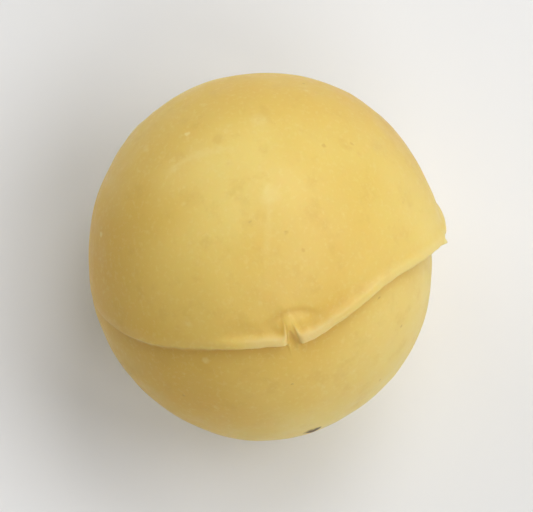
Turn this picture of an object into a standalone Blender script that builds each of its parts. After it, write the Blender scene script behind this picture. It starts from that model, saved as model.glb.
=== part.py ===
"""A shelled macadamia kernel, lying on its flat resting spot.

The kernel is one solid body. It is made of two seed leaves that grew face to face: a broad upper one,
whose edge stands out as a lip, and a lower one that tucks in beneath it. The seam between them is a
great circle of the kernel. The lip is strongest on the side of the nose, the end where the seed would
sprout: there it has a notch under a small nub, and at one side it runs out to a beak.

The shape is worked out in the kernel's own frame and then turned into its resting attitude:
  +X  the nose
  +Y  the side on which the lip ends in a beak
  +Z  the upper seed leaf, square to the seam
Longitude is measured in the seam from the nose towards +Y, and latitude from the seam towards +Z.
Lengths are in millimetres and angles in degrees until the finished mesh is scaled to metres.
"""

import math
from collections import namedtuple

import bmesh
import bpy
from mathutils import Euler, Vector, noise

MM = 0.001

# Half lengths of the body from its centre, and how it lies
NOSE_REACH = 8.8
TAIL_REACH = 9.0
BEAK_SIDE_REACH = 9.45
PLAIN_SIDE_REACH = 9.0
UPPER_REACH = 9.3
LOWER_REACH = 9.55
ATTITUDE = Euler((math.radians(-3), math.radians(-50), math.radians(-72)))
CENTRE = Vector((-0.52, 0.05, 9.0))

# Broad swells and flats: longitude, latitude, reach and height
SWELLS = (
    (120, 45, 38, 0.26),  # the full shoulder above the beak
    (-126, 42, 30, -0.18),  # the flat opposite that shoulder
    (-102, 8, 22, -0.26),  # the flat of the plain side
    (82, -12, 24, -0.41),  # the hollow beneath the beak
    (-20, -75, 28, 0.32),  # the full cheek of the lower leaf
)
LUMP_SIZE = 6.5
LUMP_HEIGHT = 0.08

# Where the seam sags below its great circle, towards the lower leaf: longitude, reach and drop
SAGS = (
    (3.5, 9, 0.30),  # the lips dip together at the notch
    (2, 24, 0.30),
    (-44, 22, 0.16),
    (38, 18, -0.58),  # the long straight rise towards the beak
    (74, 12, 0.30),  # the drooping beak
)
SAG_REACH = 26

# The lip on either side of the nose. The upper leaf flares out along its edge and carries a bead there,
# and the lower leaf sinks into a valley beneath it. Each span is of angles away from the nose.
LipSide = namedtuple("LipSide", "flare flare_span bead bead_span valley valley_span step step_span end_span")
PLAIN_SIDE = LipSide(
    flare=(0.18, 0.18), flare_span=(0, 90),
    bead=(0.16, 0.0), bead_span=(14, 34),
    valley=(0.18, 0.26), valley_span=(5, 25),
    step=(0.13, 0.26), step_span=(10, 34),
    end_span=(58, 98),
)
BEAK_SIDE = LipSide(
    flare=(0.18, 0.58), flare_span=(28, 70),
    bead=(0.30, 0.10), bead_span=(26, 58),
    valley=(0.18, 0.26), valley_span=(40, 70),
    step=(0.13, 0.13), step_span=(0, 90),
    end_span=(80, 100),
)
BEAK_LONGITUDE = 72
BEAK_HALF_LENGTH = 10
BEAK_HEIGHT = 0.36
EDGE_SOFTENING = 0.35
EDGE_ROUNDING = 0.30
FLARE_LENGTH = 1.9
VALLEY_LENGTH = 1.5
BEAD_RISE = 0.33
BEAD_WIDTH_ABOVE = 0.40
BEAD_WIDTH_BELOW = 0.42
FURROW_SHARE = 0.32
FURROW_RISE = 1.0
FURROW_WIDTH = 0.35
CREASE_DEPTH = 0.06
CREASE_WIDTH = 0.25

# The notch in the lip, the gap it leaves in the bead to either side of its middle, and the nub over it
NOTCH_DEPTH = 1.1
NOTCH_LONGITUDE = 0.4
NOTCH_HALF_ANGLE = 1.6
NOTCH_LEAN = 0.12
NOTCH_REACH_ABOVE = 14
NOTCH_REACH_BELOW = 8
NOTCH_FILL = 0.85
NOTCH_FILL_LENGTH = 0.8
BEAD_GAP = (0.02, 0.35)
NUB_LONGITUDE = 1.0
NUB_RISE = 0.55
NUB_TILT = math.radians(-2)
NUB_HALF_LENGTH = 1.1
NUB_HALF_WIDTH = 0.62
NUB_HEIGHT = 0.15
NUB_SHOULDER = (0.3, 1.15)

# Mesh density: the first ring beside the seam is this share of an even spacing away from it
SEGMENTS = 120
RINGS = 44
SEAM_CROWDING = 0.2
NOSE_CROWDING = 0.7

KERNEL_COLOUR = (0.80, 0.56, 0.17, 1.0)
KERNEL_ROUGHNESS = 0.42


def ramp(value, start, end):
    """0 before start, 1 after end, and smooth between."""
    share = min(1.0, max(0.0, (value - start) / (end - start)))
    return share * share * (3 - 2 * share)


def bell(distance, width):
    return math.exp(-((distance / width) ** 2))


def direction(longitude, latitude):
    longitude, latitude = math.radians(longitude), math.radians(latitude)
    ring = math.cos(latitude)
    return Vector((ring * math.cos(longitude), ring * math.sin(longitude), math.sin(latitude)))


def body_radius(way):
    """Distance from the centre to the body's surface without its lip."""
    nose = NOSE_REACH if way.x > 0 else TAIL_REACH
    side = BEAK_SIDE_REACH if way.y > 0 else PLAIN_SIDE_REACH
    leaf = UPPER_REACH if way.z > 0 else LOWER_REACH
    radius = 1 / math.sqrt((way.x / nose) ** 2 + (way.y / side) ** 2 + (way.z / leaf) ** 2)
    for longitude, latitude, reach, height in SWELLS:
        radius += height * bell(way.angle(direction(longitude, latitude)), math.radians(reach))
    return radius + LUMP_HEIGHT * noise.noise(way * radius / LUMP_SIZE)


def notch_share(longitude):
    """1 in the middle of the notch, falling off steeply on both sides."""
    return math.exp(-(abs(longitude - NOTCH_LONGITUDE) / NOTCH_HALF_ANGLE) ** 3)


def notch_slope(longitude):
    """How steeply the notch's side climbs there, in millimetres to the millimetre."""
    away = abs(longitude - NOTCH_LONGITUDE)
    climb_to_degree = NOTCH_DEPTH * notch_share(longitude) * 3 * away ** 2 / NOTCH_HALF_ANGLE ** 3
    return climb_to_degree / (math.radians(1) * NOSE_REACH)


def lip_profile(longitude):
    """The flare, the bead, the valley and the step's half width there, and how much of the lip is there."""
    away = abs(longitude)
    side = BEAK_SIDE if longitude > 0 else PLAIN_SIDE

    def along(ends, span):
        return ends[0] + (ends[1] - ends[0]) * ramp(away, *span)

    flare = along(side.flare, side.flare_span) + BEAK_HEIGHT * bell(longitude - BEAK_LONGITUDE, BEAK_HALF_LENGTH)
    bead = along(side.bead, side.bead_span) * (1 - ramp(notch_share(longitude), *BEAD_GAP))
    valley = along(side.valley, side.valley_span)
    step_width = along(side.step, side.step_span) * math.hypot(1, notch_slope(longitude))
    return flare, bead, valley, step_width, 1 - ramp(away, *side.end_span)


def bead_share(rise):
    """The bead's height over its crest's: steep below the crest and soft above it, where a furrow runs."""
    over_crest = rise - BEAD_RISE
    if over_crest < 0:
        return bell(over_crest ** 2, BEAD_WIDTH_BELOW ** 2)
    return bell(over_crest, BEAD_WIDTH_ABOVE) - FURROW_SHARE * bell(rise - FURROW_RISE, FURROW_WIDTH)


def lip_height(rise, longitude):
    """How far the lip stands out of the body, at a rise above its edge, or sinks in below it."""
    flare, bead, valley, step_width, lip = lip_profile(longitude)
    rounding = 1 - EDGE_SOFTENING * math.exp(-max(rise, 0) / EDGE_ROUNDING)
    above = flare * rounding * math.exp(-max(rise, 0) / FLARE_LENGTH) + bead * bead_share(rise)
    below = -valley * math.exp(min(rise, 0) / VALLEY_LENGTH)
    fill = NOTCH_FILL * notch_share(longitude)
    below += fill * (valley + flare) * math.exp(min(rise, 0) / NOTCH_FILL_LENGTH)
    step = ramp(rise, -step_width, step_width)
    crease = -CREASE_DEPTH * (1 - lip) * bell(rise, CREASE_WIDTH)
    return lip * (step * above + (1 - step) * below) + crease


def nub_height(rise, longitude):
    sideways = math.radians(longitude - NUB_LONGITUDE) * NOSE_REACH
    upward = rise - NUB_RISE
    along = sideways * math.cos(NUB_TILT) + upward * math.sin(NUB_TILT)
    across = upward * math.cos(NUB_TILT) - sideways * math.sin(NUB_TILT)
    reach = math.hypot(along / NUB_HALF_LENGTH, across / NUB_HALF_WIDTH)
    return NUB_HEIGHT * (1 - ramp(reach, *NUB_SHOULDER))


def notch_rise(longitude, latitude):
    """Millimetres by which the notch lifts the lip's edge there."""
    reach = NOTCH_REACH_ABOVE if latitude > 0 else NOTCH_REACH_BELOW
    return NOTCH_DEPTH * notch_share(longitude) * bell(latitude, reach)


def seam_sag(longitude, latitude):
    """Millimetres by which the seam, and the mesh along it, sags below its great circle there."""
    return bell(latitude, SAG_REACH) * sum(drop * bell(longitude - place, reach) for place, reach, drop in SAGS)


def surface_point(longitude, latitude):
    """The point of the kernel's surface that way from its centre, in its own frame."""
    notch = notch_rise(longitude, latitude)
    lifted = latitude + math.degrees((notch - seam_sag(longitude, latitude)) / NOSE_REACH)
    leaned = longitude - math.degrees(NOTCH_LEAN * notch / NOSE_REACH)
    way = direction(leaned, lifted)
    radius = body_radius(way)
    lip = lip_height(math.radians(latitude) * radius, longitude)
    nub = nub_height(math.radians(lifted) * radius, leaned)
    return way * (radius + lip + nub)


def crowded(longitude, latitude):
    """Moves a point of an even globe so that its vertices crowd round the nose and along the seam."""
    longitude -= math.degrees(NOSE_CROWDING * math.sin(math.radians(longitude)))
    share = abs(latitude) / 90
    latitude *= SEAM_CROWDING + (1 - SEAM_CROWDING) * share
    return longitude, latitude


def shape_kernel(mesh):
    """A globe with its poles square to the seam, each vertex moved onto the kernel's surface."""
    bmesh.ops.create_uvsphere(mesh, u_segments=SEGMENTS, v_segments=RINGS, radius=1)
    for vertex in mesh.verts:
        latitude = math.degrees(math.asin(max(-1.0, min(1.0, vertex.co.z))))
        longitude = math.degrees(math.atan2(vertex.co.y, vertex.co.x))
        vertex.co = surface_point(*crowded(longitude, latitude))


def cut_resting_spot(mesh):
    """Cuts the underside flat where the kernel touches the table."""
    everything = mesh.verts[:] + mesh.edges[:] + mesh.faces[:]
    cut = bmesh.ops.bisect_plane(
        mesh, geom=everything, plane_co=(0, 0, 0), plane_no=(0, 0, -1), clear_outer=True, dist=1e-6
    )
    rim = [item for item in cut["geom_cut"] if isinstance(item, bmesh.types.BMEdge)]
    bmesh.ops.contextual_create(mesh, geom=rim)
    for edge in rim:
        edge.smooth = False


def kernel_material():
    material = bpy.data.materials.new("kernel_cream")
    material.use_nodes = True
    shader = material.node_tree.nodes["Principled BSDF"]
    shader.inputs["Base Color"].default_value = KERNEL_COLOUR
    shader.inputs["Roughness"].default_value = KERNEL_ROUGHNESS
    shader.inputs["Metallic"].default_value = 0.0
    return material


def make_kernel(collection):
    mesh = bmesh.new()
    shape_kernel(mesh)
    bmesh.ops.rotate(mesh, verts=mesh.verts, matrix=ATTITUDE.to_matrix())
    bmesh.ops.translate(mesh, verts=mesh.verts, vec=CENTRE)
    cut_resting_spot(mesh)
    bmesh.ops.scale(mesh, verts=mesh.verts, vec=(MM, MM, MM))
    bmesh.ops.recalc_face_normals(mesh, faces=mesh.faces)
    data = bpy.data.meshes.new("kernel")
    mesh.to_mesh(data)
    mesh.free()
    data.shade_smooth()
    data.materials.append(kernel_material())
    collection.objects.link(bpy.data.objects.new("kernel", data))


def main():
    for old in list(bpy.data.objects):
        bpy.data.objects.remove(old)
    collection = bpy.data.collections.new("macadamia_kernel")
    bpy.context.scene.collection.children.link(collection)
    make_kernel(collection)


main()
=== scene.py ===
"""Looks of a shelled macadamia kernel, lying on a pale table and seen almost from above.

The kernel's skin follows the formulas of its solid, with a finer relief and a softer notch. They are worked
out in the kernel's own frame (+X the nose, +Y the side of the lip's beak, +Z the upper seed leaf) in
millimetres and degrees, and the finished mesh is turned into its resting attitude and scaled to metres.
"""

import math
from collections import namedtuple
from functools import cache

import bmesh
import bpy
from mathutils import Euler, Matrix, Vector, noise


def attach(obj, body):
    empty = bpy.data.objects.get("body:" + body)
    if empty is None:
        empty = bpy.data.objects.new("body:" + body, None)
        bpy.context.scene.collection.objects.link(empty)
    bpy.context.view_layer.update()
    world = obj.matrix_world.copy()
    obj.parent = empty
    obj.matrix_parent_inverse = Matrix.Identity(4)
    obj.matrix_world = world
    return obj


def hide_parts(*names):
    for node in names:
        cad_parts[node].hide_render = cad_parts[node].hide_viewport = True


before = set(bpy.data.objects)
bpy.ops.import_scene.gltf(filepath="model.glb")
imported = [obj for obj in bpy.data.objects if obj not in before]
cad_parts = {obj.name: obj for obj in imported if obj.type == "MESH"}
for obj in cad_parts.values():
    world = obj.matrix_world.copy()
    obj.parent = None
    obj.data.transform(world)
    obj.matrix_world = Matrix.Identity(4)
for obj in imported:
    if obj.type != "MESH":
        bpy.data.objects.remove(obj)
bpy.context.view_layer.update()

MM = 0.001

# Half lengths of the body from its centre, and how it lies
NOSE_REACH = 8.8
TAIL_REACH = 9.0
BEAK_SIDE_REACH = 9.45
PLAIN_SIDE_REACH = 9.0
UPPER_REACH = 9.3
LOWER_REACH = 9.55
ATTITUDE = Euler((math.radians(-3), math.radians(-50), math.radians(-72)))
CENTRE = Vector((-0.52, 0.05, 9.0))

# Broad swells and flats: longitude, latitude, reach and height
SWELLS = (
    (120, 45, 38, 0.26),  # the full shoulder above the beak
    (-126, 42, 30, -0.18),  # the flat opposite that shoulder
    (-102, 8, 22, -0.26),  # the flat of the plain side
    (82, -12, 24, -0.41),  # the hollow beneath the beak
    (-20, -75, 28, 0.32),  # the full cheek of the lower leaf
)
LUMP_SIZE = 6.5
LUMP_HEIGHT = 0.08

# Where the seam sags below its great circle, towards the lower leaf: longitude, reach and drop
SAGS = (
    (3.5, 9, 0.30),  # the lips dip together at the notch
    (2, 24, 0.30),  # and sag along the whole nose
    (-44, 22, 0.16),  # the plain side
    (38, 18, -0.58),  # the long straight rise towards the beak
    (74, 12, 0.30),  # the drooping beak
)
SAG_REACH = 26

# The lip on either side of the nose. The upper leaf flares out along its edge and carries a bead there,
# and the lower leaf sinks into a valley beneath it. Each span is of angles away from the nose.
LipSide = namedtuple("LipSide", "flare flare_span bead bead_span valley valley_span step step_span end_span")
PLAIN_SIDE = LipSide(
    flare=(0.18, 0.18), flare_span=(0, 90),
    bead=(0.16, 0.0), bead_span=(14, 34),
    valley=(0.18, 0.26), valley_span=(5, 25),
    step=(0.13, 0.26), step_span=(10, 34),
    end_span=(58, 98),
)
BEAK_SIDE = LipSide(
    flare=(0.18, 0.58), flare_span=(28, 70),
    bead=(0.20, 0.10), bead_span=(26, 58),
    valley=(0.18, 0.26), valley_span=(40, 70),
    step=(0.13, 0.13), step_span=(0, 90),
    end_span=(80, 100),
)

# The beak, and how the lip's edge, flare, valley, bead, furrow and crease are shaped, in millimetres
BEAK_LONGITUDE = 72
BEAK_HALF_LENGTH = 10
BEAK_HEIGHT = 0.36
EDGE_SOFTENING = 0.45
EDGE_ROUNDING = 0.30
FLARE_LENGTH = 1.9
VALLEY_LENGTH = 1.5
BEAD_RISE = 0.33
BEAD_WIDTH_ABOVE = 0.36
BEAD_WIDTH_BELOW = 0.42
FURROW_SHARE = 0.32
FURROW_RISE = 1.0
FURROW_WIDTH = 0.35
CREASE_DEPTH = 0.06
CREASE_WIDTH = 0.25

# The notch in the lip, the gap it leaves in the bead to either side of its middle, and the nub over it.
# Their places, angles, reaches, gap and spread are in degrees, the other lengths in millimetres.
NOTCH_DEPTH = 1.05
NOTCH_LONGITUDE = 0.2
NOTCH_HALF_ANGLE = 1.4
NOTCH_SHARPNESS = 3
NOTCH_LEAN = 0.08
NOTCH_REACH_ABOVE = 14
NOTCH_REACH_BELOW = 8
NOTCH_SPREAD = 10
NOTCH_FILL = 0.9
NOTCH_FILL_LENGTH = 0.4
NOTCH_SOFTENING = 0.8
NOTCH_SOFT_REACH = 2.6
BEAD_GAP = (0.8, 3.4)
NUB_LONGITUDE = 1.0
NUB_RISE = 0.55
NUB_TILT = math.radians(-2)
NUB_HALF_LENGTH = 1.02
NUB_HALF_WIDTH = 0.62
NUB_HEIGHT = 0.15
NUB_SHOULDER = (0.3, 1.15)

# Mesh density, and how closely the vertices crowd along the seam, round the nose and round the beak
SEGMENTS = 420
RINGS = 208
SEAM_CROWDING = 0.2
NOSE_CROWDING = 0.6
BEAK_CROWDING = 0.6
BEAK_CROWDING_REACH = 12
CUT_TOLERANCE = 1e-6

# Fine relief of the skin: wavelength and height of each layer of dimples, how far the skin is sunk into the
# solid, the height of its pores, the wobble of the lip's edge, and the furrow round the nub's upper side
DIMPLES = ((3.2, 0.060), (1.2, 0.026))
SKIN_SINK = 0.03
GRAIN_HEIGHT = 0.012
EDGE_WOBBLES = 0.3
EDGE_WOBBLE_RISE = 0.05
NUB_MOAT_DEPTH = 0.05
NUB_MOAT_REACH = 1.3
NUB_MOAT_WIDTH = 0.24

# Painted light on the lip: how strong the painted highlight on its crest is on either side, how far the
# painted shade reaches beneath its edge, and how much of that shade is left in the notch and in the furrow
# over the nub
CREST_HIGHLIGHT_BEAK_SIDE = (0.60, 0.25)
CREST_HIGHLIGHT_BEAK_SPAN = (8, 22)
CREST_HIGHLIGHT_PLAIN_SIDE = (0.55, 0.10)
CREST_HIGHLIGHT_PLAIN_SPAN = (10, 20)
CREST_HIGHLIGHT_BAND = (0.50, 0.80)
CREST_HIGHLIGHT_GAP = (0.05, 0.5)
CREST_HIGHLIGHT_SHARE = 0.8
LIP_SHADE_LENGTH = 0.75
LIP_SHADE_SHARE = 0.6
LIP_SHADE_IN_NOTCH = 0.15
LIP_SHADE_IN_MOAT = 0.35

# The bite out of the beak's tip, the flake that stands up beside it and the dark scab on the lower leaf:
# longitude, latitude, reach and height
BITE = (72.3, 1.2, 0.19, -0.32)
FLAKE = (68.6, 0.8, 0.16, 0.22)
SCAB = (3.5, -56.5, 0.36, 0.09)
SCAB_MARKS = ((3.5, -56.5, 0.42, 1.0), (6.1, -55.8, 0.26, 0.95), (1.2, -57.1, 0.22, 0.9))

# Soft changes of tone over the whole kernel, some of them painted shade and some painted light: longitude,
# latitude, reach and share
HONEY_TONES_AND_SHADE = (
    # partly the plain side's own deeper tone, partly painted shade on that side
    (-84, 18, 40, 0.85),  # the plain side
    # painted shade on the shoulder beyond the beak
    (100, 27, 27, 0.72),  # the shoulder beyond the beak
    (140, 75, 26, 0.40),  # the crown of the upper leaf
    (-40, -28, 28, 0.55),  # the lower leaf beneath the plain side
    (12, -30, 18, 0.25),  # the middle of the lower leaf
    (0, 6, 30, 0.45),  # the nose
    (38, 12, 22, 0.25),  # along the lip towards the beak
)
PALE_TONES_AND_LIGHT = (
    # painted light on the cheek beneath the beak
    (43, -22, 28, 0.40),  # the cheek beneath the beak
    (12, 48, 24, 0.20),  # the middle of the upper leaf
    # painted light on the foot of the lower leaf
    (5, -58, 18, 0.35),  # the foot of the lower leaf
)

# Small marks: longitude, latitude, radius and share
PALE_MARKS = (
    (-58, 73, 0.16, 0.75),
    (-81, 29, 0.18, 0.65),
    (-31, -5, 0.19, 0.60),
    (33, 74, 0.50, 0.25),
    (7, 48, 0.55, 0.30),
    (68.6, 0.8, 0.28, 0.90),  # the flake at the beak's tip
)
TAN_MARKS = (
    (49, 53, 0.12, 0.45),
    (61, 46, 0.11, 0.45),
    (8, 35, 0.13, 0.35),
    (12, 28, 0.12, 0.40),
    (-19, 72, 0.35, 0.25),
)

# Faint pale scuffs along arcs through three places: half width and share
SCUFFS = (
    (((-51, 59), (-35, 66), (-1, 66)), 0.20, 0.30),
    (((7, 52), (3, 41), (-3, 29)), 0.22, 0.22),
)

# The chalky scar round the tail, its ragged edge and its broken crust. Each fractal has its frequency,
# dimension, lacunarity and octaves.
Fractal = namedtuple("Fractal", "frequency dimension lacunarity octaves")
TAIL = Vector((-1, 0, 0))
SCAR_REACH = 46
SCAR_RAGGEDNESS = 26
SCAR_EDGE = 7
SCAR_FRACTAL = Fractal(3.1, 0.9, 2.2, 5)
CRUST_FRACTAL = Fractal(9.0, 0.8, 2.1, 4)
CRUST_SPAN = (-0.05, 0.25)
CRUST_HEIGHT = 0.05

# Colours of the flesh, linear
HONEY = (0.795, 0.580, 0.140, 1)
CREAM = (0.835, 0.665, 0.200, 1)
DEEP_HONEY = (0.745, 0.430, 0.058, 1)
TAN = (0.640, 0.385, 0.080, 1)
PALE = (0.865, 0.715, 0.285, 1)
HIGHLIGHT_PEACH = (0.870, 0.668, 0.350, 1)
SPECK_BROWN = (0.420, 0.230, 0.060, 1)
CHALK = (0.850, 0.700, 0.370, 1)
CHALK_WHITE = (0.900, 0.830, 0.620, 1)
SCAB_BROWN = (0.110, 0.055, 0.015, 1)

# Textures in the flesh: cycles to the millimetre, octaves and their roughness. Patches lay a colour where
# the texture's value runs through a span, up to a share.
Texture = namedtuple("Texture", "scale detail roughness")
Patches = namedtuple("Patches", "texture span share")
DRIFT = Patches(Texture(0.14, 2, 0.5), (0.35, 0.65), 1.0)
MOTTLES = Patches(Texture(0.8, 4, 0.6), (0.52, 0.72), 0.20)
PALE_MOTTLES = Patches(Texture(1.3, 5, 0.6), (0.40, 0.28), 0.25)

# Pores and the uneven sheen of the skin
GRAIN = Texture(2.6, 4, 0.65)
SHEEN = Texture(0.9, 3, 0.5)
SHEEN_SPAN = (0.3, 0.7)
SKIN_ROUGHNESS = (0.40, 0.52)

# Uneven outlines of the small marks in millimetres, and where marks and scuffs fade, in their own sizes
RAG = Texture(3.0, 2, 0.5)
RAG_REACH = 0.3
MARK_FADE = (0.5, 1.3)
SCUFF_FADE = (0.35, 0.6)

# Tiny brown specks in some cells of a mosaic
SPECK_SCALE = 0.6
SPECK_FADE = (0.025, 0.07)
SPECK_CHOICE = (0.45, 0.6)
SPECK_SHARE = 0.5

# The chalky crust by its thickness: a halo, the flakes' edge and their whiter rim, and fine cracks
CHALK_RAG = Texture(4.0, 3, 0.6)
CHALK_RAG_SPAN = (0.3, 0.7)
CHALK_RAG_SHARE = 0.25
CHALK_HALO = (0.05, 0.55)
CHALK_HALO_SHARE = 0.6
CHALK_EDGE = (0.42, 0.58)
CHALK_RIM = (0.55, 0.85)
CHALK_RIM_SHARE = 0.7
CHALK_STEP = 2.0
CHALK_DULLNESS = 0.3
CRACK_SCALE = 1.2
CRACK_FADE = (0.0, 0.05)
CRACK_SHARE = 0.4

# How the flesh takes the light; the depth is in millimetres
SPECULAR_LEVEL = 0.25
GLOW_WEIGHT = 0.5
GLOW_RADIUS = (1.0, 0.6, 0.25)
GLOW_DEPTH = 2.0

# Camera: elevation in degrees, aim and lens in millimetres, distance and clipping in metres
CAMERA_ELEVATION = 80
CAMERA_AIM = Vector((-0.05, 0, 9.0))
CAMERA_DISTANCE = 0.6
CAMERA_LENS = 787
CAMERA_CLIP = (0.01, 10)

# Soft lights: azimuth, elevation and power, and the distance and size of each in metres
LIGHTS = (
    (0, 55, 0.88),
    (60, 55, 0.86),
    (300, 50, 0.67),
    (135, 25, 0.56),
)
LIGHT_DISTANCE = 0.5
LIGHT_SIZE = 0.3

# The sky's light and the floor
SKY_STRENGTH = 0.15
FLOOR_SHADE = 0.85
FLOOR_ROUGHNESS = 0.8
FLOOR_SIZE = 3


def ramp(value, start, end):
    """0 before start, 1 after end, and smooth between."""
    share = min(1.0, max(0.0, (value - start) / (end - start)))
    return share * share * (3 - 2 * share)


def bell(distance, width):
    """1 at no distance, falling off over the width."""
    return math.exp(-((distance / width) ** 2))


def direction(longitude, latitude):
    """The way from the centre towards that longitude and latitude."""
    longitude, latitude = math.radians(longitude), math.radians(latitude)
    ring = math.cos(latitude)
    return Vector((ring * math.cos(longitude), ring * math.sin(longitude), math.sin(latitude)))


def body_radius(way):
    """Distance from the centre to the body's surface without its lip."""
    nose = NOSE_REACH if way.x > 0 else TAIL_REACH
    side = BEAK_SIDE_REACH if way.y > 0 else PLAIN_SIDE_REACH
    leaf = UPPER_REACH if way.z > 0 else LOWER_REACH
    radius = 1 / math.sqrt((way.x / nose) ** 2 + (way.y / side) ** 2 + (way.z / leaf) ** 2)
    for longitude, latitude, reach, height in SWELLS:
        radius += height * bell(way.angle(direction(longitude, latitude)), math.radians(reach))
    return radius + LUMP_HEIGHT * noise.noise(way * radius / LUMP_SIZE)


def notch_share(longitude):
    """1 in the middle of the notch, falling off steeply on both sides."""
    return math.exp(-(abs(longitude - NOTCH_LONGITUDE) / NOTCH_HALF_ANGLE) ** NOTCH_SHARPNESS)


def notch_softness(longitude):
    """1 in the middle of the notch, falling off beyond its corners."""
    return bell(longitude - NOTCH_LONGITUDE, NOTCH_SOFT_REACH)


def notch_slope(longitude):
    """How steeply the notch's side climbs there, in millimetres to the millimetre."""
    away = abs(longitude - NOTCH_LONGITUDE) / NOTCH_HALF_ANGLE
    climb = NOTCH_DEPTH * notch_share(longitude) * NOTCH_SHARPNESS * away ** (NOTCH_SHARPNESS - 1)
    return climb / (math.radians(NOTCH_HALF_ANGLE) * NOSE_REACH)


def lip_profile(longitude):
    """The flare, the bead, the valley and the step's half width there, and how much of the lip is there."""
    away = abs(longitude)
    side = BEAK_SIDE if longitude > 0 else PLAIN_SIDE

    def along(ends, span):
        return ends[0] + (ends[1] - ends[0]) * ramp(away, *span)

    beak = BEAK_HEIGHT * bell(longitude - BEAK_LONGITUDE, BEAK_HALF_LENGTH)
    flare = along(side.flare, side.flare_span) + beak
    bead = along(side.bead, side.bead_span) * ramp(abs(longitude - NOTCH_LONGITUDE), *BEAD_GAP)
    valley = along(side.valley, side.valley_span)
    step_width = along(side.step, side.step_span) * math.hypot(1, notch_slope(longitude))
    step_width *= 1 + NOTCH_SOFTENING * notch_softness(longitude)
    return flare, bead, valley, step_width, 1 - ramp(away, *side.end_span)


def bead_share(rise):
    """The height of the flat-topped bead over its crest's, with the furrow that runs above it."""
    over_crest = rise - BEAD_RISE
    width = BEAD_WIDTH_BELOW if over_crest < 0 else BEAD_WIDTH_ABOVE
    return bell(over_crest ** 2, width ** 2) - FURROW_SHARE * bell(rise - FURROW_RISE, FURROW_WIDTH)


def lip_height(rise, longitude, notch):
    """How far the lip stands out of the body, at a rise above its edge, or sinks in below it.

    The valley below keeps its depth in the notch, by the notch's lift of the edge there.
    """
    flare, bead, valley, step_width, lip = lip_profile(longitude)
    rounding = 1 - EDGE_SOFTENING * math.exp(-max(rise, 0) / EDGE_ROUNDING)
    above = flare * rounding * math.exp(-max(rise, 0) / FLARE_LENGTH) + bead * bead_share(rise)
    below = -valley * math.exp(min(rise + notch, 0) / VALLEY_LENGTH)
    fill = NOTCH_FILL * notch_share(longitude)
    below += fill * (valley + flare) * math.exp(min(rise, 0) / NOTCH_FILL_LENGTH)
    step = ramp(rise, -step_width, step_width)
    crease = -CREASE_DEPTH * (1 - lip) * bell(rise, CREASE_WIDTH)
    return lip * (step * above + (1 - step) * below) + crease


def nub_height(rise, longitude):
    """The nub over the notch, with a fine furrow round its upper side."""
    sideways = math.radians(longitude - NUB_LONGITUDE) * NOSE_REACH
    upward = rise - NUB_RISE
    along = sideways * math.cos(NUB_TILT) + upward * math.sin(NUB_TILT)
    across = upward * math.cos(NUB_TILT) - sideways * math.sin(NUB_TILT)
    reach = math.hypot(along / NUB_HALF_LENGTH, across / NUB_HALF_WIDTH)
    moat = NUB_MOAT_DEPTH * bell(reach - NUB_MOAT_REACH, NUB_MOAT_WIDTH) * ramp(across, 0, NUB_HALF_WIDTH)
    return NUB_HEIGHT * (1 - ramp(reach, *NUB_SHOULDER)) - moat


def notch_rise(longitude, latitude):
    """Millimetres by which the notch lifts the lip's edge there. It widens and fades above its apex."""
    reach = NOTCH_REACH_ABOVE if latitude > 0 else NOTCH_REACH_BELOW
    narrowed = NOTCH_LONGITUDE + (longitude - NOTCH_LONGITUDE) / (1 + max(latitude, 0) / NOTCH_SPREAD)
    return NOTCH_DEPTH * notch_share(narrowed) * bell(latitude, reach)


def seam_sag(longitude, latitude):
    """Millimetres by which the seam, and the mesh along it, sags below its great circle there."""
    wobble = EDGE_WOBBLE_RISE * noise.noise(Vector((longitude * EDGE_WOBBLES, 0, 0)))
    return bell(latitude, SAG_REACH) * (
        wobble + sum(drop * bell(longitude - place, reach) for place, reach, drop in SAGS)
    )


def moved_with_seam(longitude, latitude):
    """Where a place at that latitude from the lip's edge lies on the globe, in longitude and latitude."""
    notch = notch_rise(longitude, latitude)
    lifted = latitude + math.degrees((notch - seam_sag(longitude, latitude)) / NOSE_REACH)
    return longitude - math.degrees(NOTCH_LEAN * notch / NOSE_REACH), lifted


@cache
def seam_way(longitude, latitude):
    return direction(*moved_with_seam(longitude, latitude))


def fractal_noise(way, fractal):
    return noise.fractal(way * fractal.frequency, fractal.dimension, fractal.lacunarity, fractal.octaves)


def scar_share(way):
    """1 on the chalky scar round the tail and 0 off it, with a ragged edge."""
    away = math.degrees(way.angle(TAIL))
    away -= SCAR_RAGGEDNESS * fractal_noise(way, SCAR_FRACTAL)
    return 1 - ramp(away, SCAR_REACH - SCAR_EDGE, SCAR_REACH + SCAR_EDGE)


def crust_share(way):
    """How thick the scar's crust is there, from bare to full."""
    return scar_share(way) * ramp(fractal_noise(way, CRUST_FRACTAL), *CRUST_SPAN)


def skin_relief(way, radius):
    """Shallow dimples all over, the crust of the scar, the beak's bite and flake, and the scab."""
    relief = sum(height * noise.noise(way * radius / size) for size, height in DIMPLES)
    for longitude, latitude, reach, height in (BITE, FLAKE, SCAB):
        away = radius * way.angle(seam_way(longitude, latitude))
        relief += height * bell(away, reach)
    return relief + CRUST_HEIGHT * crust_share(way) - SKIN_SINK


def surface_place(longitude, latitude):
    """The point of the kernel's surface at that longitude and that latitude from the lip's edge."""
    leaned, lifted = moved_with_seam(longitude, latitude)
    way = direction(leaned, lifted)
    radius = body_radius(way)
    lip = lip_height(math.radians(latitude) * radius, longitude, notch_rise(longitude, latitude))
    nub = nub_height(math.radians(lifted) * radius, leaned)
    return way * (radius + lip + nub + skin_relief(way, radius))


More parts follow.
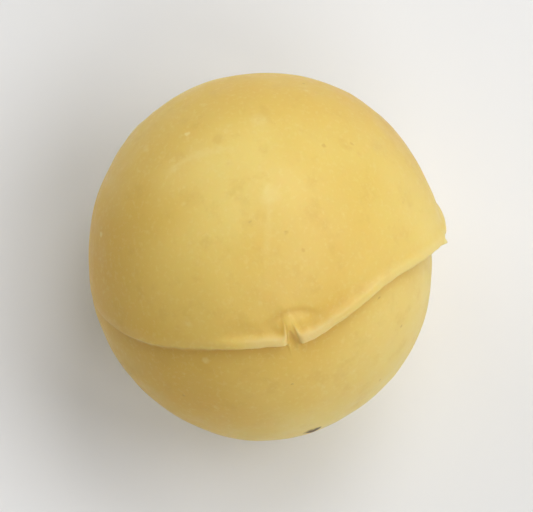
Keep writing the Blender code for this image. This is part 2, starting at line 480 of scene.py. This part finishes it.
def crowded(longitude, latitude):
    """Moves a point of an even globe so that its vertices crowd round the nose, the beak and the seam."""
    share = abs(latitude) / 90
    longitude -= math.degrees(NOSE_CROWDING * (1 - share ** 2) * math.sin(math.radians(longitude)))
    from_beak = longitude - BEAK_LONGITUDE
    longitude -= BEAK_CROWDING * (1 - share ** 2) * from_beak * bell(from_beak, BEAK_CROWDING_REACH)
    latitude *= SEAM_CROWDING + (1 - SEAM_CROWDING) * share
    return longitude, latitude


def crest_share(longitude, latitude):
    """How strong the painted highlight along the lip's crest is there."""
    rise = math.radians(latitude) * NOSE_REACH
    step_width, lip = lip_profile(longitude)[-2:]
    if longitude > 0:
        ends, fade = CREST_HIGHLIGHT_BEAK_SIDE, ramp(longitude, *CREST_HIGHLIGHT_BEAK_SPAN)
    else:
        ends, fade = CREST_HIGHLIGHT_PLAIN_SIDE, ramp(-longitude, *CREST_HIGHLIGHT_PLAIN_SPAN)
    strength = (ends[0] + (ends[1] - ends[0]) * fade) * (1 - ramp(notch_share(longitude), *CREST_HIGHLIGHT_GAP))
    band = ramp(rise, 0, step_width) * (1 - ramp(rise, *CREST_HIGHLIGHT_BAND))
    return CREST_HIGHLIGHT_SHARE * lip * strength * band


def hollow_share(longitude, latitude):
    """How much painted shade the valley beneath the lip's edge and the furrow over the nub get there, with
    some of the browner tone the flesh has under the lip.
    """
    rise = math.radians(latitude) * NOSE_REACH
    step_width, lip = lip_profile(longitude)[-2:]
    valley = lip * (1 - ramp(rise, -step_width, step_width)) * math.exp(min(rise, 0) / LIP_SHADE_LENGTH)
    valley *= 1 - (1 - LIP_SHADE_IN_NOTCH) * notch_softness(longitude)
    leaned, lifted = moved_with_seam(longitude, latitude)
    moat = -nub_height(math.radians(lifted) * NOSE_REACH, leaned) / NUB_MOAT_DEPTH
    return LIP_SHADE_SHARE * max(valley, LIP_SHADE_IN_MOAT * moat)


def tone_share(way, tones):
    """How strong a tone is there, over all its soft patches."""
    total = 0
    for longitude, latitude, reach, share in tones:
        total += share * bell(way.angle(direction(longitude, latitude)), math.radians(reach))
    return min(1.0, total)


def shape_kernel(mesh):
    """A globe with its poles square to the seam, each vertex moved onto the kernel's surface."""
    layers = mesh.verts.layers
    own_place = layers.float_vector.new("own_place")
    shares = {name: layers.float.new(name) for name in ("chalk", "crest", "hollow", "honey_tone_and_shade", "pale_tone_and_light")}
    bmesh.ops.create_uvsphere(mesh, u_segments=SEGMENTS, v_segments=RINGS, radius=1)
    for vertex in mesh.verts:
        latitude = math.degrees(math.asin(max(-1.0, min(1.0, vertex.co.z))))
        longitude = math.degrees(math.atan2(vertex.co.y, vertex.co.x))
        longitude, latitude = crowded(longitude, latitude)
        vertex.co = surface_place(longitude, latitude)
        vertex[own_place] = vertex.co
        way = vertex.co.normalized()
        vertex[shares["chalk"]] = crust_share(way)
        # painted highlight on the lip's crest, painted shade beneath it, and tones that are partly painted
        # shade and light
        vertex[shares["crest"]] = crest_share(longitude, latitude)
        vertex[shares["hollow"]] = hollow_share(longitude, latitude)
        vertex[shares["honey_tone_and_shade"]] = tone_share(way, HONEY_TONES_AND_SHADE)
        vertex[shares["pale_tone_and_light"]] = tone_share(way, PALE_TONES_AND_LIGHT)


def cut_resting_spot(mesh):
    """Cuts the underside flat where the kernel touches the table."""
    everything = mesh.verts[:] + mesh.edges[:] + mesh.faces[:]
    cut = bmesh.ops.bisect_plane(
        mesh, geom=everything, plane_co=(0, 0, 0), plane_no=(0, 0, -1), clear_outer=True, dist=CUT_TOLERANCE
    )
    rim = [item for item in cut["geom_cut"] if isinstance(item, bmesh.types.BMEdge)]
    bmesh.ops.contextual_create(mesh, geom=rim)
    for edge in rim:
        edge.smooth = False


def make_kernel():
    mesh = bmesh.new()
    shape_kernel(mesh)
    bmesh.ops.rotate(mesh, verts=mesh.verts, matrix=ATTITUDE.to_matrix())
    bmesh.ops.translate(mesh, verts=mesh.verts, vec=CENTRE)
    cut_resting_spot(mesh)
    bmesh.ops.scale(mesh, verts=mesh.verts, vec=(MM, MM, MM))
    bmesh.ops.recalc_face_normals(mesh, faces=mesh.faces)
    data = bpy.data.meshes.new("kernel_skin")
    mesh.to_mesh(data)
    mesh.free()
    data.shade_smooth()
    kernel = bpy.data.objects.new("kernel_skin", data)
    bpy.context.scene.collection.objects.link(kernel)
    kernel.data.materials.append(kernel_material())
    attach(kernel, "root")
    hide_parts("kernel")


def add_node(tree, kind, **settings):
    node = tree.nodes.new(kind)
    for name, value in settings.items():
        setattr(node, name, value)
    return node


def feed(tree, value, socket):
    """Sets a socket to a plain value, or links another socket to it."""
    if isinstance(value, bpy.types.NodeSocket):
        tree.links.new(value, socket)
    else:
        socket.default_value = value


def attribute(tree, name, output="Fac"):
    """What the mesh stores at each vertex under that name."""
    return add_node(tree, "ShaderNodeAttribute", attribute_name=name).outputs[output]


def arithmetic(tree, operation, *values):
    node = add_node(tree, "ShaderNodeMath", operation=operation)
    for socket, value in zip(node.inputs, values):
        feed(tree, value, socket)
    return node.outputs["Value"]


def vector_arithmetic(tree, operation, *values, output="Vector"):
    node = add_node(tree, "ShaderNodeVectorMath", operation=operation)
    for socket, value in zip(node.inputs, values):
        feed(tree, value, socket)
    return node.outputs[output]


def noise_texture(tree, place, texture, output="Fac"):
    node = add_node(tree, "ShaderNodeTexNoise")
    feed(tree, place, node.inputs["Vector"])
    feed(tree, texture.scale, node.inputs["Scale"])
    feed(tree, texture.detail, node.inputs["Detail"])
    feed(tree, texture.roughness, node.inputs["Roughness"])
    return node.outputs[output]


def mosaic_texture(tree, place, scale, feature):
    node = add_node(tree, "ShaderNodeTexVoronoi", feature=feature)
    feed(tree, place, node.inputs["Vector"])
    feed(tree, scale, node.inputs["Scale"])
    return node


def spread(tree, value, span, ends=(0.0, 1.0)):
    """Maps a span of values smoothly onto two ends."""
    node = add_node(tree, "ShaderNodeMapRange", interpolation_type="SMOOTHSTEP")
    names = ("From Min", "From Max", "To Min", "To Max")
    for name, number in zip(names, (*span, *ends)):
        feed(tree, number, node.inputs[name])
    feed(tree, value, node.inputs["Value"])
    return node.outputs["Result"]


def lay_colour(tree, share, base, colour):
    """Lays a colour over a base, as strongly as the share says."""
    node = add_node(tree, "ShaderNodeMix", data_type="RGBA")
    feed(tree, share, node.inputs["Factor"])
    feed(tree, base, node.inputs["A"])
    feed(tree, colour, node.inputs["B"])
    return node.outputs["Result"]


def lay_patches(tree, place, patches, base, colour):
    """Lays a colour over a base in soft patches of a noise."""
    share = spread(tree, noise_texture(tree, place, patches.texture), patches.span, (0.0, patches.share))
    return lay_colour(tree, share, base, colour)


def lay_specks(tree, place, base):
    """Lays a tiny speck in some cells of a loose mosaic."""
    mosaic = mosaic_texture(tree, place, SPECK_SCALE, "F1")
    near = spread(tree, mosaic.outputs["Distance"], SPECK_FADE, (SPECK_SHARE, 0.0))
    chosen = spread(tree, mosaic.outputs["Color"], SPECK_CHOICE)
    return lay_colour(tree, arithmetic(tree, "MULTIPLY", near, chosen), base, SPECK_BROWN)


def ragged(tree, place):
    """The place shifted a little by a noise, for uneven outlines of small marks."""
    shift = noise_texture(tree, place, RAG, "Color")
    centred = vector_arithmetic(tree, "SUBTRACT", shift, (0.5, 0.5, 0.5))
    return vector_arithmetic(tree, "MULTIPLY_ADD", centred, (RAG_REACH, RAG_REACH, RAG_REACH), place)


def lay_marks(tree, place, marks, base, colour):
    """Lays small round marks of one colour over a base."""
    for longitude, latitude, radius, share in marks:
        away = vector_arithmetic(tree, "DISTANCE", place, surface_place(longitude, latitude), output="Value")
        mark = spread(tree, away, (MARK_FADE[0] * radius, MARK_FADE[1] * radius), (share, 0.0))
        base = lay_colour(tree, mark, base, colour)
    return base


def lay_scuffs(tree, place, base, colour):
    """Lays faint scuffs over a base, each along the circle through three places."""
    for spots, half_width, share in SCUFFS:
        first, middle, last = (surface_place(*spot) for spot in spots)
        across = (middle - first).cross(last - first).normalized()
        along = vector_arithmetic(tree, "DOT_PRODUCT", place, across, output="Value")
        away = arithmetic(tree, "ABSOLUTE", arithmetic(tree, "SUBTRACT", along, across.dot(middle)))
        line = spread(tree, away, (0.0, half_width), (share, 0.0))
        from_middle = vector_arithmetic(tree, "DISTANCE", place, middle, output="Value")
        length = (last - first).length
        near = spread(tree, from_middle, (SCUFF_FADE[0] * length, SCUFF_FADE[1] * length), (1.0, 0.0))
        base = lay_colour(tree, arithmetic(tree, "MULTIPLY", line, near), base, colour)
    return base


def chalk_thickness(tree, place):
    """The chalky crust's thickness with a fine raggedness; it is bare below the start of CHALK_EDGE."""
    rag = noise_texture(tree, place, CHALK_RAG)
    fine = spread(tree, rag, CHALK_RAG_SPAN, (-CHALK_RAG_SHARE, CHALK_RAG_SHARE))
    return arithmetic(tree, "ADD", attribute(tree, "chalk"), fine)


def lay_chalk(tree, place, thickness, base):
    """Lays the chalky crust: a pale halo, and flakes with whiter rims, crazed by fine cracks."""
    base = lay_colour(tree, spread(tree, thickness, CHALK_HALO, (0.0, CHALK_HALO_SHARE)), base, PALE)
    flakes = spread(tree, thickness, CHALK_EDGE)
    base = lay_colour(tree, flakes, base, CHALK)
    rims = arithmetic(tree, "MULTIPLY", flakes, spread(tree, thickness, CHALK_RIM, (CHALK_RIM_SHARE, 0.0)))
    base = lay_colour(tree, rims, base, CHALK_WHITE)
    mosaic = mosaic_texture(tree, place, CRACK_SCALE, "DISTANCE_TO_EDGE")
    cracks = spread(tree, mosaic.outputs["Distance"], CRACK_FADE, (CRACK_SHARE, 0.0))
    return lay_colour(tree, arithmetic(tree, "MULTIPLY", flakes, cracks), base, TAN)


def kernel_colour(tree, place, thickness):
    """The flesh's drifting tones with some painted shade and painted light among them, its small marks, the
    painted highlight and painted shade of the lip, and the chalky crust.
    """
    colour = lay_patches(tree, place, DRIFT, HONEY, CREAM)
    # deeper honey tone, partly painted shade on the plain side and on the shoulder beyond the beak
    colour = lay_colour(tree, attribute(tree, "honey_tone_and_shade"), colour, DEEP_HONEY)
    # pale tone, partly painted light on the cheek beneath the beak and on the foot of the lower leaf
    colour = lay_colour(tree, attribute(tree, "pale_tone_and_light"), colour, PALE)
    colour = lay_patches(tree, place, MOTTLES, colour, TAN)
    colour = lay_patches(tree, place, PALE_MOTTLES, colour, PALE)
    ragged_place = ragged(tree, place)
    colour = lay_specks(tree, ragged_place, colour)
    colour = lay_scuffs(tree, ragged_place, colour, PALE)
    colour = lay_marks(tree, ragged_place, PALE_MARKS, colour, PALE)
    colour = lay_marks(tree, ragged_place, TAN_MARKS, colour, TAN)
    # painted shade beneath the lip's edge and in the furrow over the nub, with some browner tone of the
    # flesh there
    colour = lay_colour(tree, attribute(tree, "hollow"), colour, TAN)
    # painted highlight along the lip's crest, in a pale peach
    colour = lay_colour(tree, attribute(tree, "crest"), colour, HIGHLIGHT_PEACH)
    colour = lay_chalk(tree, ragged_place, thickness, colour)
    return lay_marks(tree, ragged_place, SCAB_MARKS, colour, SCAB_BROWN)


def kernel_roughness(tree, place, thickness):
    """Satin skin, a little uneven, and dull chalk."""
    skin = spread(tree, noise_texture(tree, place, SHEEN), SHEEN_SPAN, SKIN_ROUGHNESS)
    return arithmetic(tree, "ADD", skin, spread(tree, thickness, CHALK_EDGE, (0.0, CHALK_DULLNESS)))


def kernel_grain(tree, place, thickness):
    """Fine pores, and the steps at the edges of the chalky flakes."""
    flakes = spread(tree, thickness, CHALK_EDGE, (0.0, CHALK_STEP))
    grain = add_node(tree, "ShaderNodeBump")
    feed(tree, GRAIN_HEIGHT * MM, grain.inputs["Distance"])
    feed(tree, arithmetic(tree, "ADD", noise_texture(tree, place, GRAIN), flakes), grain.inputs["Height"])
    return grain.outputs["Normal"]


def kernel_material():
    material = bpy.data.materials.new("kernel_flesh")
    material.use_nodes = True
    tree = material.node_tree
    shader = tree.nodes["Principled BSDF"]
    place = attribute(tree, "own_place", "Vector")
    thickness = chalk_thickness(tree, place)
    feed(tree, kernel_colour(tree, place, thickness), shader.inputs["Base Color"])
    feed(tree, kernel_roughness(tree, place, thickness), shader.inputs["Roughness"])
    feed(tree, kernel_grain(tree, place, thickness), shader.inputs["Normal"])
    shader.inputs["Specular IOR Level"].default_value = SPECULAR_LEVEL
    shader.inputs["Subsurface Weight"].default_value = GLOW_WEIGHT
    shader.inputs["Subsurface Radius"].default_value = GLOW_RADIUS
    shader.inputs["Subsurface Scale"].default_value = GLOW_DEPTH * MM
    return material


def make_floor():
    bpy.ops.mesh.primitive_plane_add(size=FLOOR_SIZE)
    floor = bpy.context.object
    floor.name = "floor"
    material = bpy.data.materials.new("floor_white")
    material.use_nodes = True
    shader = material.node_tree.nodes["Principled BSDF"]
    shader.inputs["Base Color"].default_value = (FLOOR_SHADE, FLOOR_SHADE, FLOOR_SHADE, 1)
    shader.inputs["Roughness"].default_value = FLOOR_ROUGHNESS
    floor.data.materials.append(material)


def add_lamp(azimuth, elevation, power):
    light = bpy.data.lights.new("softbox", "AREA")
    light.shape = "DISK"
    light.size = LIGHT_SIZE
    light.energy = power
    lamp = bpy.data.objects.new("softbox", light)
    towards = direction(azimuth, elevation)
    lamp.location = towards * LIGHT_DISTANCE
    lamp.rotation_euler = towards.to_track_quat("Z", "Y").to_euler()
    bpy.context.scene.collection.objects.link(lamp)


def light_scene():
    for azimuth, elevation, power in LIGHTS:
        add_lamp(azimuth, elevation, power)
    world = bpy.data.worlds.new("studio")
    world.use_nodes = True
    world.node_tree.nodes["Background"].inputs["Color"].default_value = (1, 1, 1, 1)
    world.node_tree.nodes["Background"].inputs["Strength"].default_value = SKY_STRENGTH
    bpy.context.scene.world = world
    bpy.context.scene.view_settings.view_transform = "Standard"


def make_camera():
    camera = bpy.data.cameras.new("camera")
    camera.lens = CAMERA_LENS
    camera.clip_start, camera.clip_end = CAMERA_CLIP
    holder = bpy.data.objects.new("camera", camera)
    elevation = math.radians(CAMERA_ELEVATION)
    back = Vector((0, -math.cos(elevation), math.sin(elevation)))
    aim = CAMERA_AIM * MM
    holder.location = aim + back * CAMERA_DISTANCE
    holder.rotation_euler = back.to_track_quat("Z", "Y").to_euler()
    bpy.context.scene.collection.objects.link(holder)
    bpy.context.scene.camera = holder


make_kernel()
make_floor()
light_scene()
make_camera()
